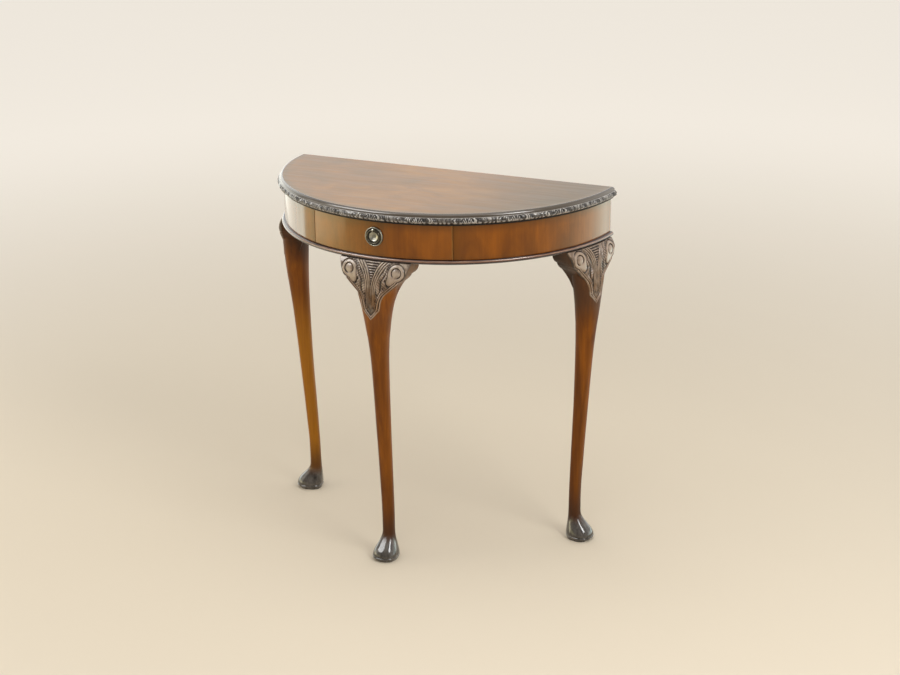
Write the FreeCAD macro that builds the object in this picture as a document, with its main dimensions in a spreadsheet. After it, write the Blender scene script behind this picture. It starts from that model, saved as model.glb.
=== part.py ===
# Demilune hall table: a half-round top over a bowed frieze with one drawer, on three cabriole legs.
# Lengths are millimetres and angles degrees. The floor is at height zero and the front faces -Y.
# The origin lies on the floor, under the middle of the table's overall width and depth.
# Most pieces are drawn about the axis of the half circle, which stands behind that origin.

import FreeCAD
import Part
import Sketcher
import math
import os

SIZES = {
    # Top: a flat half disc with an applied moulding round its curve
    "overall_height": 762.0,
    "plateau_overhang": 1.2,
    "back_setback": 6.7,
    "top_thickness": 24.0,
    "veneer_thickness": 1.0,
    "moulding_foot": 1.5,
    "band_foot": 5.0,
    "band_foot_rise": 1.0,
    "band_head": 8.3,
    "band_head_rise": 17.2,
    "ovolo_foot": 6.6,
    "ovolo_foot_rise": 17.8,
    "ovolo_head": 0.8,
    # Frieze and carcase
    "frieze_radius": 361.5,
    "frieze_thickness": 20.0,
    "frieze_height": 70.3,
    "back_rail_thickness": 20.0,
    "base_thickness": 9.0,
    "bead_reach": 6.6,
    "bead_depth": 10.0,
    "block_length": 46.0,
    "block_depth": 18.0,
    "block_height": 18.0,
    # Drawer and what guides it
    "opening_width": 310.4,
    "drawer_gap": 0.6,
    "drawer_front_thickness": 20.0,
    "drawer_side_inset": 6.6,
    "drawer_side_thickness": 10.0,
    "drawer_side_height": 55.3,
    "drawer_back_thickness": 10.0,
    "drawer_back_gap": 18.0,
    "drawer_bottom_thickness": 5.0,
    "drawer_bottom_lift": 7.0,
    "groove_depth": 5.0,
    "groove_clearance": 0.2,
    "runner_width": 10.0,
    "runner_height": 3.0,
    "guide_width": 16.0,
    "guide_height": 20.0,
    "guide_clearance": 0.6,
    "kicker_width": 14.0,
    "kicker_clearance": 0.8,
    "stop_inset": 38.0,
    "stop_length": 24.0,
    "stop_width": 12.0,
    "stop_height": 5.5,
    "stop_clearance": 0.3,
    # Ring pull
    "handle_drop": 30.3,
    "plate_radius": 19.5,
    "plate_rim_width": 2.2,
    "plate_rim_height": 3.0,
    "plate_floor": 1.2,
    "plate_dish_radius": 11.5,
    "plate_dish_floor": 0.7,
    "ring_radius": 13.6,
    "ring_wire_radius": 1.7,
    "ring_stand": 4.9,
    "eye_radius": 3.4,
    "eye_width": 2.6,
    "eye_clearance": 0.3,
    "bolt_radius": 2.0,
    "bolt_clearance": 0.2,
    "bolt_tail": 1.5,
    "nut_radius": 4.0,
    "nut_height": 3.2,
    "nut_clearance": 0.05,
    # Legs: the knee stands out from the frieze, the ankle back from it, and the foot out from the ankle
    "leg_angle": 76.0,
    "knee_reach": 19.5,
    "knee_depth": 51.0,
    "knee_width": 78.0,
    "ankle_setback": 20.5,
    "ankle_depth": 24.6,
    "ankle_width": 25.0,
    "ankle_height": 60.0,
    "toe_reach": 32.0,
    "heel_reach": 2.2,
    "pad_width": 53.2,
    # Ears: the brackets glued to both sides of each knee
    "ear_reach": 79.0,
    "rear_ear_reach": 72.0,
    "ear_nose": 5.0,
    "ear_drop": 66.0,
    "ear_inset": 1.0,
    "ear_tuck_depth": 12.0,
    "ear_tuck_height": 22.0,
    "ear_plan_radius": 380.0,
    "ear_depth": 55.0,
    # Fixings
    "dowel_radius": 4.0,
    "dowel_length": 30.0,
    "dowel_spacing": 36.0,
    "dowel_setback": 16.5,
    "dowel_clearance": 0.05,
    "screw_radius": 2.0,
    "screw_head_radius": 4.0,
    "screw_head_height": 2.4,
    "screw_clearance": 0.05,
    "leg_screw_length": 40.0,
    "leg_screw_setback": 18.5,
    "top_screw_length": 29.0,
    "overrun": 5.0,
}

# Rows of height, front, back and width: shares of the way from the ankle's size to the pad's,
# with heights as shares of the ankle's height
FOOT_SHARES = (
    (0.0, 0.87, 0.45, 0.83),
    (0.05, 0.96, 0.8, 0.95),
    (0.15, 1.0, 1.0, 1.0),
    (0.25, 0.95, 1.0, 0.94),
    (0.37, 0.78, 0.97, 0.76),
    (0.5, 0.53, 0.88, 0.53),
    (0.67, 0.235, 0.62, 0.27),
    (0.83, 0.07, 0.28, 0.09),
    (1.0, 0.0, 0.0, 0.0),
)
# The same from the ankle's size to the knee's, with heights as shares of the way up to the bead
SHIN_SHARES = (
    (0.085, 0.01, 0.1, 0.01),
    (0.185, 0.11, 0.29, 0.028),
    (0.3, 0.24, 0.53, 0.057),
    (0.415, 0.38, 0.77, 0.1),
    (0.53, 0.53, 0.92, 0.13),
    (0.63, 0.68, 1.0, 0.18),
    (0.715, 0.835, 1.04, 0.29),
    (0.785, 0.95, 1.03, 0.54),
    (0.855, 0.998, 1.01, 0.86),
    (0.92, 0.98, 1.0, 0.99),
    (0.965, 0.87, 1.0, 1.0),
    (1.0, 0.7, 1.0, 1.0),
)
OVAL_EXPONENT = 2.4
OVAL_POINTS = 24
BAND_ROUND_SHARE = 0.55
OVOLO_ROUND_SHARE = 0.72
EAR_OVERLAP_SHARE = 0.35
BLOCK_WAY_SHARES = (0.0, 0.5, 1.0)
SIDES = {"left": -1, "right": 1}
UP = FreeCAD.Vector(0, 0, 1)
ALONG_X = FreeCAD.Rotation(FreeCAD.Vector(0, 1, 0), 90)
ALONG_Y = FreeCAD.Rotation(FreeCAD.Vector(1, 0, 0), -90)


class Size:
    """A number together with the formula that ties it to the sheet of sizes."""

    def __init__(self, formula, value):
        self.formula = formula
        self.value = value

    def __add__(self, other):
        return Size(f"({self.formula} + {as_size(other).formula})", self.value + as_size(other).value)

    def __sub__(self, other):
        return Size(f"({self.formula} - {as_size(other).formula})", self.value - as_size(other).value)

    def __mul__(self, other):
        return Size(f"({self.formula} * {as_size(other).formula})", self.value * as_size(other).value)

    def __truediv__(self, other):
        return Size(f"({self.formula} / {as_size(other).formula})", self.value / as_size(other).value)

    def __neg__(self):
        return self * -1


def as_size(number):
    return number if isinstance(number, Size) else Size(f"({number})", number)


def root(size):
    return Size(f"sqrt({size.formula})", math.sqrt(size.value))


def across(radius, offset):
    """How far a circle stands from its middle line, at an offset along that line."""
    return root(radius * radius - offset * offset)


def sine(angle):
    return Size(f"sin({angle.formula})", math.sin(math.radians(angle.value)))


def cosine(angle):
    return Size(f"cos({angle.formula})", math.cos(math.radians(angle.value)))


def angle_of(sine_of_angle):
    return Size(f"(asin({sine_of_angle.formula}) / (1 deg))", math.degrees(math.asin(sine_of_angle.value)))


def make_sheet():
    """Write the driving sizes into the document's sheet and return them by name."""
    sheet = doc.addObject("Spreadsheet::Sheet", "Sizes")
    for row, (alias, value) in enumerate(SIZES.items(), start=1):
        sheet.set(f"A{row}", alias)
        sheet.set(f"B{row}", str(value))
        sheet.setAlias(f"B{row}", alias)
    doc.recompute()
    return {alias: Size(f"Sizes.{alias}", float(sheet.get(alias))) for alias in SIZES}


doc = FreeCAD.newDocument("DemiluneTable")
SIZE = make_sheet()
ZERO = as_size(0)

# Levels and places that several pieces share
plateau_radius = SIZE["frieze_radius"] + SIZE["plateau_overhang"]
knee_front_radius = SIZE["frieze_radius"] + SIZE["knee_reach"]
knee_back_radius = knee_front_radius - SIZE["knee_depth"]
ankle_front_radius = SIZE["frieze_radius"] - SIZE["ankle_setback"]
ankle_back_radius = ankle_front_radius - SIZE["ankle_depth"]
toe_radius = ankle_front_radius + SIZE["toe_reach"]
heel_radius = ankle_back_radius - SIZE["heel_reach"]
axis_y = (knee_front_radius + SIZE["back_setback"]) / 2
top_underside = SIZE["overall_height"] - SIZE["top_thickness"]
base_top = top_underside - SIZE["frieze_height"]
leg_height = base_top - SIZE["base_thickness"]
frieze_core_radius = SIZE["frieze_radius"] - SIZE["veneer_thickness"]
frieze_inner_radius = SIZE["frieze_radius"] - SIZE["frieze_thickness"]
front_inner_radius = SIZE["frieze_radius"] - SIZE["drawer_front_thickness"]
base_radius = SIZE["frieze_radius"] + SIZE["bead_reach"] - SIZE["bead_depth"]
opening_half = SIZE["opening_width"] / 2
front_half = opening_half - SIZE["drawer_gap"]
side_outer = front_half - SIZE["drawer_side_inset"]
side_inner = side_outer - SIZE["drawer_side_thickness"]
rail_face = SIZE["back_setback"] + SIZE["back_rail_thickness"]
guide_inner = side_outer + SIZE["guide_clearance"]
guide_outer = guide_inner + SIZE["guide_width"]
back_block_place = (guide_outer + frieze_inner_radius) / 2
drawer_end = rail_face + SIZE["drawer_back_gap"]
side_bottom = base_top + SIZE["runner_height"]
side_top = side_bottom + SIZE["drawer_side_height"]
panel_bottom = side_bottom + SIZE["drawer_bottom_lift"]
panel_top = panel_bottom + SIZE["drawer_bottom_thickness"]
handle_height = top_underside - SIZE["handle_drop"]
handle_face = axis_y - SIZE["frieze_radius"]
LEG_TURNS = {"front": ZERO, "left": -SIZE["leg_angle"], "right": SIZE["leg_angle"]}


def bind(item, name, size):
    item.setExpression(name, size.formula)


def place(item, x=ZERO, y=ZERO, z=ZERO, turn=None):
    """Bind where a piece stands and how far it is turned about a vertical line."""
    if turn is not None:
        item.Placement.Rotation = FreeCAD.Rotation(UP, turn.value)
        bind(item, "Placement.Rotation.Angle", turn)
    bind(item, "Placement.Base.x", x)
    bind(item, "Placement.Base.y", y)
    bind(item, "Placement.Base.z", z)


# Sketches: outlines with curves about the axis, tied to the sheet by their constraints

def new_body(name):
    body = doc.addObject("PartDesign::Body", name)
    body.Label = name
    return body


def new_sketch(body, name, role, lift=None):
    sketch = body.newObject("Sketcher::SketchObject", f"{body.Name}_{name}")
    plane = next(item for item in body.Origin.OriginFeatures if item.Role == role)
    sketch.AttachmentSupport = (plane, [""])
    sketch.MapMode = "FlatFace"
    if lift is not None:
        bind(sketch, "AttachmentOffset.Base.z", lift)
    return sketch


def fix(sketch, kind, *where, size):
    """Add one dimension to a sketch and tie it to its size."""
    index = sketch.addConstraint(Sketcher.Constraint(kind, *where, size.value))
    sketch.renameConstraint(index, f"size_{index}")
    bind(sketch, f"Constraints.size_{index}", size)


def pin(sketch, edge, end, x=None, y=None):
    """Hold one end of an edge at its distances from the sketch's origin."""
    for kind, axis, size in (("DistanceX", -2, x), ("DistanceY", -1, y)):
        if size is None:
            continue
        if size is ZERO:
            sketch.addConstraint(Sketcher.Constraint("PointOnObject", edge, end, axis))
        else:
            fix(sketch, kind, -1, 1, edge, end, size=size)


def join(sketch, *corners):
    for edge, end, next_edge, next_end in corners:
        sketch.addConstraint(Sketcher.Constraint("Coincident", edge, end, next_edge, next_end))


def level(sketch, kind, *edges):
    for edge in edges:
        sketch.addConstraint(Sketcher.Constraint(kind, edge))


def point(x, y):
    return FreeCAD.Vector(x.value, y.value, 0)


def add_line(sketch, start, end):
    return sketch.addGeometry(Part.LineSegment(start, end))


def add_bow(sketch, radius, start, end, middle=ZERO):
    """Curve that bulges to the front from start to end, about a middle on the front-to-back line."""
    centre = point(ZERO, middle)
    angles = [math.atan2(spot.y - centre.y, spot.x - centre.x) for spot in (start, end)]
    bow = sketch.addGeometry(Part.ArcOfCircle(Part.Circle(centre, UP, radius.value), *angles))
    pin(sketch, bow, 3, x=ZERO, y=middle)
    fix(sketch, "Radius", bow, size=radius)
    return bow


def half_disc(sketch, radius):
    """Half round with its straight back edge a little in front of the axis."""
    back = -SIZE["back_setback"]
    left = point(-across(radius, back), back)
    right = point(across(radius, back), back)
    bow = add_bow(sketch, radius, left, right)
    chord = add_line(sketch, right, left)
    join(sketch, (bow, 2, chord, 1), (chord, 2, bow, 1))
    level(sketch, "Horizontal", chord)
    pin(sketch, chord, 1, y=back)


def bow_panel(sketch, radius, left, right, back, middle=ZERO):
    """Bowed front, straight sides along the drawer's way, and a straight back."""
    front_left = point(left, middle - across(radius, left))
    front_right = point(right, middle - across(radius, right))
    bow = add_bow(sketch, radius, front_left, front_right, middle)
    right_edge = add_line(sketch, front_right, point(right, back))
    back_edge = add_line(sketch, point(right, back), point(left, back))
    left_edge = add_line(sketch, point(left, back), front_left)
    join(sketch, (bow, 2, right_edge, 1), (right_edge, 2, back_edge, 1))
    join(sketch, (back_edge, 2, left_edge, 1), (left_edge, 2, bow, 1))
    level(sketch, "Vertical", right_edge, left_edge)
    level(sketch, "Horizontal", back_edge)
    pin(sketch, back_edge, 1, x=right, y=back)
    pin(sketch, back_edge, 2, x=left)


def bow_strip(sketch, outer, inner, half):
    """Bowed strip between two radii, cut off square at both sides of the drawer."""
    spots = {radius: (point(-half, -across(radius, half)), point(half, -across(radius, half)))
             for radius in (outer, inner)}
    front = add_bow(sketch, outer, *spots[outer])
    rear = add_bow(sketch, inner, *spots[inner])
    right_end = add_line(sketch, spots[outer][1], spots[inner][1])
    left_end = add_line(sketch, spots[inner][0], spots[outer][0])
    join(sketch, (front, 2, right_end, 1), (right_end, 2, rear, 2))
    join(sketch, (rear, 1, left_end, 1), (left_end, 2, front, 1))
    level(sketch, "Vertical", right_end, left_end)
    pin(sketch, right_end, 1, x=half)
    pin(sketch, left_end, 1, x=-half)


def side_strip(sketch, outer, inner, side):
    """Curved strip beside the drawer, from its opening round to the straight back."""
    back = -SIZE["back_setback"]
    seam = opening_half * side
    bows = []
    for radius in (outer, inner):
        seam_spot = point(seam, -across(radius, opening_half))
        back_spot = point(across(radius, back) * side, back)
        ends = (seam_spot, back_spot) if side > 0 else (back_spot, seam_spot)
        bows.append(add_bow(sketch, radius, *ends))
    seam_end, back_end = (1, 2) if side > 0 else (2, 1)
    front, rear = bows
    seam_spots = [point(seam, -across(radius, opening_half)) for radius in (inner, outer)]
    back_spots = [point(across(radius, back) * side, back) for radius in (outer, inner)]
    seam_edge = add_line(sketch, *seam_spots)
    back_edge = add_line(sketch, *back_spots)
    join(sketch, (seam_edge, 1, rear, seam_end), (seam_edge, 2, front, seam_end))
    join(sketch, (back_edge, 1, front, back_end), (back_edge, 2, rear, back_end))
    level(sketch, "Vertical", seam_edge)
    level(sketch, "Horizontal", back_edge)
    pin(sketch, seam_edge, 1, x=seam)
    pin(sketch, back_edge, 1, y=back)


def outline(sketch, corners):
    """Closed outline of straight edges."""
    spots = [point(*corner) for corner in corners]
    edges = [add_line(sketch, spot, spots[(index + 1) % len(spots)]) for index, spot in enumerate(spots)]
    for index, edge in enumerate(edges):
        join(sketch, (edges[index - 1], 2, edge, 1))
        pin(sketch, edge, 1, *corners[index])


def rectangle(sketch, left, right, front, back):
    outline(sketch, ((left, front), (right, front), (right, back), (left, back)))


# Features and solids

def pad(body, sketch, length):
    feature = body.newObject("PartDesign::Pad", f"{body.Name}_pad")
    feature.Profile = sketch
    bind(feature, "Length", length)
    return feature


def pocket(body, sketch, length=None, upward=False):
    feature = body.newObject("PartDesign::Pocket", f"{body.Name}_pocket")
    feature.Profile = sketch
    if length is None:
        feature.Type = "ThroughAll"
        feature.Midplane = True
    else:
        bind(feature, "Length", length)
        feature.Reversed = upward
    return feature


def revolve(body, sketch, angle):
    feature = body.newObject("PartDesign::Revolution", f"{body.Name}_turned")
    feature.Profile = sketch
    feature.ReferenceAxis = (sketch, ["V_Axis"])
    feature.Angle = angle
    feature.Reversed = True
    return feature


def plan_piece(name, shape, height, bottom, *measures, **options):
    """Body padded upward from an outline in plan, standing on the axis of the half circle."""
    body = new_body(name)
    sketch = new_sketch(body, "plan", "XY_Plane")
    shape(sketch, *measures, **options)
    pad(body, sketch, height)
    place(body, y=axis_y, z=bottom)
    return body


def box(name, left, right, front, back, bottom, top):
    piece = doc.addObject("Part::Box", name)
    bind(piece, "Length", right - left)
    bind(piece, "Width", back - front)
    bind(piece, "Height", top - bottom)
    place(piece, left, axis_y + front, bottom)
    return piece


def rod(name, radius, length, x, y, z, rotation=FreeCAD.Rotation()):
    piece = doc.addObject("Part::Cylinder", name)
    bind(piece, "Radius", radius)
    bind(piece, "Height", length)
    piece.Placement = FreeCAD.Placement(FreeCAD.Vector(), rotation)
    place(piece, x, y, z)
    return piece


def combine(kind, name, base, tool):
    piece = doc.addObject(f"Part::{kind}", name)
    piece.Base = base
    piece.Tool = tool
    return piece


def group(name, pieces):
    piece = doc.addObject("Part::Compound", name)
    piece.Links = pieces
    return piece


def wood_screw(name, x, y, head, length, gap=ZERO, upward=False):
    """Countersunk screw whose flat head lies at one level, driven down or up from there."""
    shank_radius = SIZE["screw_radius"] + gap
    head_radius = SIZE["screw_head_radius"] + gap
    head_height = SIZE["screw_head_height"]
    reach = length + gap
    cone = doc.addObject("Part::Cone", f"{name}_head")
    bind(cone, "Radius1", head_radius if upward else shank_radius)
    bind(cone, "Radius2", shank_radius if upward else head_radius)
    bind(cone, "Height", head_height)
    place(cone, x, y, head if upward else head - head_height)
    shank_bottom = head + head_height if upward else head - reach
    shank = rod(f"{name}_shank", shank_radius, reach - head_height, x, y, shank_bottom)
    return combine("Fuse", name, cone, shank)


def around(turn, radius, aside=ZERO):
    """Place in plan at a radius from the axis, turned from the front and moved aside along the curve."""
    x = radius * sine(turn) + aside * cosine(turn)
    y = axis_y - radius * cosine(turn) + aside * sine(turn)
    return x, y


# Fixings, and the holes that they sit in

def leg_fixings(role, gap_of_dowel=ZERO, gap_of_screw=ZERO):
    """Two dowels and one screw through the base into the top of each leg."""
    dowels, screws = [], []
    for leg, turn in LEG_TURNS.items():
        for side, sign in SIDES.items():
            aside = SIZE["dowel_spacing"] / 2 * sign
            x, y = around(turn, SIZE["frieze_radius"] - SIZE["dowel_setback"], aside)
            radius = SIZE["dowel_radius"] - gap_of_dowel
            bottom = base_top - SIZE["dowel_length"]
            dowels.append(rod(f"{role}_dowel_{leg}_{side}", radius, SIZE["dowel_length"], x, y, bottom))
        x, y = around(turn, SIZE["frieze_radius"] - SIZE["leg_screw_setback"])
        name = f"{role}_screw_{leg}"
        screws.append(wood_screw(name, x, y, base_top, SIZE["leg_screw_length"], gap_of_screw))
    return dowels, screws


def block_places():
    """Name and turn of each glue block along the curved frieze, between a drawer guide and a leg."""
    first = angle_of((guide_outer + SIZE["block_length"]) / frieze_inner_radius)
    way = SIZE["leg_angle"] - first
    for side, sign in SIDES.items():
        for number, share in enumerate(BLOCK_WAY_SHARES, start=1):
            yield f"glue_block_{side}_{number}", (first + way * share) * sign


def top_fixings(role, gap=ZERO):
    """One screw up through each glue block into the top."""
    head = top_underside - SIZE["block_height"]
    spots = [around(turn, frieze_inner_radius - SIZE["block_depth"] / 2) for name, turn in block_places()]
    for sign in SIDES.values():
        spots.append((back_block_place * sign, axis_y - rail_face - SIZE["block_depth"] / 2))
    return [wood_screw(f"{role}_{number}", x, y, head, SIZE["top_screw_length"], gap, upward=True)
            for number, (x, y) in enumerate(spots, start=1)]


def make_fixings():
    dowels, screws = leg_fixings("leg", gap_of_dowel=SIZE["dowel_clearance"])
    hole_dowels, hole_screws = leg_fixings("leg_hole", gap_of_screw=SIZE["screw_clearance"])
    leg_holes = group("leg_holes", hole_dowels + hole_screws)
    top_holes = group("top_holes", top_fixings("top_hole", SIZE["screw_clearance"]))
    nodes = [group("leg_dowels", dowels), group("leg_screws", screws)]
    nodes.append(group("top_screws", top_fixings("top_screw")))
    return nodes, leg_holes, top_holes


# Top

def moulding_section(sketch):
    """Section of the edge moulding: a swelling band below, a step, and an ovolo up to the flat."""
    inner = plateau_radius
    corners = [
        (inner, ZERO),
        (inner + SIZE["moulding_foot"], ZERO),
        (inner + SIZE["band_foot"], SIZE["band_foot_rise"]),
        (inner + SIZE["band_head"], SIZE["band_head_rise"]),
        (inner + SIZE["ovolo_foot"], SIZE["ovolo_foot_rise"]),
        (inner + SIZE["ovolo_head"], SIZE["top_thickness"]),
        (inner, SIZE["top_thickness"]),
    ]
    rounds = {2: BAND_ROUND_SHARE, 4: OVOLO_ROUND_SHARE}
    edges = []
    for index, start in enumerate(corners):
        end = corners[(index + 1) % len(corners)]
        if index in rounds:
            edges.append(add_swell(sketch, start, end, rounds[index]))
        else:
            edges.append(add_line(sketch, point(*start), point(*end)))
    for index, edge in enumerate(edges):
        join(sketch, (edges[index - 1], 2, edge, 1))
        pin(sketch, edge, 1, *corners[index])


def add_swell(sketch, start, end, share):
    """Arc that swells outward between two corners, its radius a share of their distance."""
    run, rise = end[0] - start[0], end[1] - start[1]
    chord = root(run * run + rise * rise)
    radius = chord * share
    lean = math.sqrt(radius.value ** 2 - (chord.value / 2) ** 2) / chord.value
    middle = (point(*start) + point(*end)) / 2
    centre = middle + FreeCAD.Vector(-rise.value, run.value, 0) * lean
    angles = [math.atan2(spot.y - centre.y, spot.x - centre.x) for spot in (point(*start), point(*end))]
    arc = sketch.addGeometry(Part.ArcOfCircle(Part.Circle(centre, UP, radius.value), *angles))
    fix(sketch, "Radius", arc, size=radius)
    return arc


def turned_edge(name, section, bottom, reach):
    """Moulding turned round the half circle and cut off along the straight back."""
    body = new_body(name)
    sketch = new_sketch(body, "section", "XZ_Plane")
    section(sketch)
    revolve(body, sketch, 180)
    doc.recompute()
    trim = new_sketch(body, "trim", "XY_Plane")
    rectangle(trim, -reach, reach, -SIZE["back_setback"], SIZE["overrun"])
    pocket(body, trim)
    place(body, y=axis_y, z=bottom)
    return body


def make_top(top_holes):
    board_height = SIZE["top_thickness"] - SIZE["veneer_thickness"]
    blank = plan_piece("top_board_blank", half_disc, board_height, top_underside, plateau_radius)
    board = combine("Cut", "top_board", blank, top_holes)
    veneer = plan_piece("top_veneer", half_disc, SIZE["veneer_thickness"],
                        top_underside + board_height, plateau_radius)
    reach = plateau_radius + SIZE["top_thickness"]
    moulding = turned_edge("top_edge_moulding", moulding_section, top_underside, reach)
    return [board, veneer, moulding]


# Carcase

def bead_section(sketch):
    """Half-round bead with a flat back, as high as the base board is thick."""
    rounding = SIZE["base_thickness"] / 2
    outer = base_radius + SIZE["bead_depth"] - rounding
    high = SIZE["base_thickness"]
    back = add_line(sketch, point(base_radius, high), point(base_radius, ZERO))
    bottom = add_line(sketch, point(base_radius, ZERO), point(outer, ZERO))
    circle = Part.Circle(point(outer, rounding), UP, rounding.value)
    nose = sketch.addGeometry(Part.ArcOfCircle(circle, -math.pi / 2, math.pi / 2))
    top = add_line(sketch, point(outer, high), point(base_radius, high))
    join(sketch, (back, 2, bottom, 1), (top, 2, back, 1))
    for edge, end, nose_end in ((bottom, 2, 1), (top, 1, 2)):
        sketch.addConstraint(Sketcher.Constraint("Tangent", edge, end, nose, nose_end))
    level(sketch, "Vertical", back)
    level(sketch, "Horizontal", bottom, top)
    pin(sketch, back, 2, x=base_radius, y=ZERO)
    pin(sketch, back, 1, y=high)
    pin(sketch, bottom, 2, x=outer)


def make_carcase(leg_holes, top_holes):
    nodes = []
    for side, sign in SIDES.items():
        nodes.append(plan_piece(f"frieze_{side}", side_strip, SIZE["frieze_height"], base_top,
                                frieze_core_radius, frieze_inner_radius, sign))
        nodes.append(plan_piece(f"frieze_veneer_{side}", side_strip, SIZE["frieze_height"], base_top,
                                SIZE["frieze_radius"], frieze_core_radius, sign))
    rail_board = box("back_rail_board", -frieze_inner_radius, frieze_inner_radius,
                     -rail_face, -SIZE["back_setback"], base_top, top_underside)
    rail_ends = rod("back_rail_ends", frieze_inner_radius, SIZE["frieze_height"], ZERO, axis_y, base_top)
    nodes.append(combine("Common", "back_rail", rail_board, rail_ends))
    base = plan_piece("base_board_blank", half_disc, SIZE["base_thickness"], leg_height, base_radius)
    nodes.append(combine("Cut", "base_board", base, leg_holes))
    reach = SIZE["frieze_radius"] + SIZE["top_thickness"]
    nodes.append(turned_edge("bead_moulding", bead_section, leg_height, reach))
    nodes.extend(make_blocks(top_holes))
    return nodes


def make_blocks(top_holes):
    """Glue blocks in the corner under the top: cut to the curve of the frieze, square on the rail."""
    bottom = top_underside - SIZE["block_height"]
    half = SIZE["block_length"] / 2
    inner = SIZE["block_depth"] - frieze_inner_radius
    nodes = []
    for name, turn in block_places():
        blank = plan_piece(f"{name}_blank", bow_panel, SIZE["block_height"], bottom,
                           frieze_inner_radius, -half, half, inner)
        place(blank, y=axis_y, z=bottom, turn=turn)
        nodes.append(combine("Cut", name, blank, top_holes))
    for side, sign in SIDES.items():
        middle = back_block_place * sign
        blank = box(f"glue_block_back_{side}_blank", middle - half, middle + half,
                    -rail_face - SIZE["block_depth"], -rail_face, bottom, top_underside)
        nodes.append(combine("Cut", f"glue_block_back_{side}", blank, top_holes))
    return nodes


def make_drawer_guides():
    """Runners under the drawer's sides, guides beside them, kickers above and stops at the front."""
    nodes = []
    runner_inner = (side_outer + side_inner - SIZE["runner_width"]) / 2
    spans = {
        "drawer_runner": (runner_inner, runner_inner + SIZE["runner_width"],
                          SIZE["stop_clearance"] - across(front_inner_radius, side_outer), -rail_face,
                          base_top, side_bottom),
        "drawer_guide": (guide_inner, guide_outer, -across(frieze_inner_radius, guide_outer), -rail_face,
                         base_top, base_top + SIZE["guide_height"]),
        "drawer_kicker": (guide_inner - SIZE["kicker_width"], guide_inner,
                          -across(frieze_inner_radius, guide_outer), -rail_face,
                          side_top + SIZE["kicker_clearance"], top_underside),
    }
    stop_outer = side_inner - SIZE["stop_inset"] + SIZE["stop_length"] / 2
    stop_face = SIZE["stop_clearance"] - across(front_inner_radius, stop_outer)
    spans["drawer_stop"] = (stop_outer - SIZE["stop_length"], stop_outer, stop_face,
                            stop_face + SIZE["stop_width"], base_top, base_top + SIZE["stop_height"])
    for name, (near, far, front, back, bottom, top) in spans.items():
        nodes.append(box(f"{name}_right", near, far, front, back, bottom, top))
        nodes.append(box(f"{name}_left", -far, -near, front, back, bottom, top))
    return nodes


# Drawer

def groove(body, shape, *measures):
    """Groove for the drawer's bottom panel, cut into a body that stands at the given level."""
    sketch = new_sketch(body, "groove", "XY_Plane", measures[0])
    shape(sketch, *measures[1:])
    pocket(body, sketch, SIZE["drawer_bottom_thickness"] + SIZE["groove_clearance"], upward=True)


def make_drawer():
    front_bottom = base_top + SIZE["drawer_gap"]
    front_height = SIZE["frieze_height"] - SIZE["drawer_gap"] * 2
    bolt_hole = rod("bolt_hole", SIZE["bolt_radius"] + SIZE["bolt_clearance"],
                    SIZE["drawer_front_thickness"] + SIZE["overrun"] * 2, ZERO,
                    handle_face - SIZE["overrun"], handle_height + SIZE["ring_radius"], ALONG_Y)

    front = plan_piece("drawer_front_blank", bow_strip, front_height, front_bottom,
                       frieze_core_radius, front_inner_radius, front_half)
    groove(front, bow_strip, panel_bottom - front_bottom, front_inner_radius + SIZE["groove_depth"],
           front_inner_radius - SIZE["overrun"], side_outer)
    veneer = plan_piece("drawer_front_veneer_blank", bow_strip, front_height, front_bottom,
                        SIZE["frieze_radius"], frieze_core_radius, front_half)
    nodes = [combine("Cut", "drawer_front", front, bolt_hole),
             combine("Cut", "drawer_front_veneer", veneer, bolt_hole)]

    for side, sign in SIDES.items():
        edges = sorted((side_inner * sign, side_outer * sign), key=lambda size: size.value)
        body = plan_piece(f"drawer_side_{side}", bow_panel, SIZE["drawer_side_height"], side_bottom,
                          front_inner_radius, *edges, -drawer_end)
        near = (side_inner - SIZE["overrun"]) * sign
        far = (side_inner + SIZE["groove_depth"]) * sign
        cut_edges = sorted((near, far), key=lambda size: size.value)
        groove(body, rectangle, SIZE["drawer_bottom_lift"], *cut_edges,
               -SIZE["frieze_radius"], SIZE["overrun"] - drawer_end)
        nodes.append(body)

    panel_half = side_inner + SIZE["groove_depth"] - SIZE["groove_clearance"]
    panel_radius = front_inner_radius + SIZE["groove_depth"] - SIZE["groove_clearance"]
    nodes.append(plan_piece("drawer_bottom", bow_panel, SIZE["drawer_bottom_thickness"], panel_bottom,
                            panel_radius, -panel_half, panel_half, -drawer_end))
    nodes.append(box("drawer_back", -side_inner, side_inner, -drawer_end - SIZE["drawer_back_thickness"],
                     -drawer_end, panel_top, side_top))
    return nodes


# Ring pull

def plate_section(sketch):
    """Half section of the round plate: a raised rim, a level floor and a shallow dish."""
    rim_inner = SIZE["plate_radius"] - SIZE["plate_rim_width"]
    outline(sketch, (
        (ZERO, ZERO),
        (ZERO, -SIZE["plate_dish_floor"]),
        (SIZE["plate_dish_radius"], -SIZE["plate_floor"]),
        (rim_inner, -SIZE["plate_floor"]),
        (rim_inner, -SIZE["plate_rim_height"]),
        (SIZE["plate_radius"], -SIZE["plate_floor"]),
        (SIZE["plate_radius"], ZERO),
    ))


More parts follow.
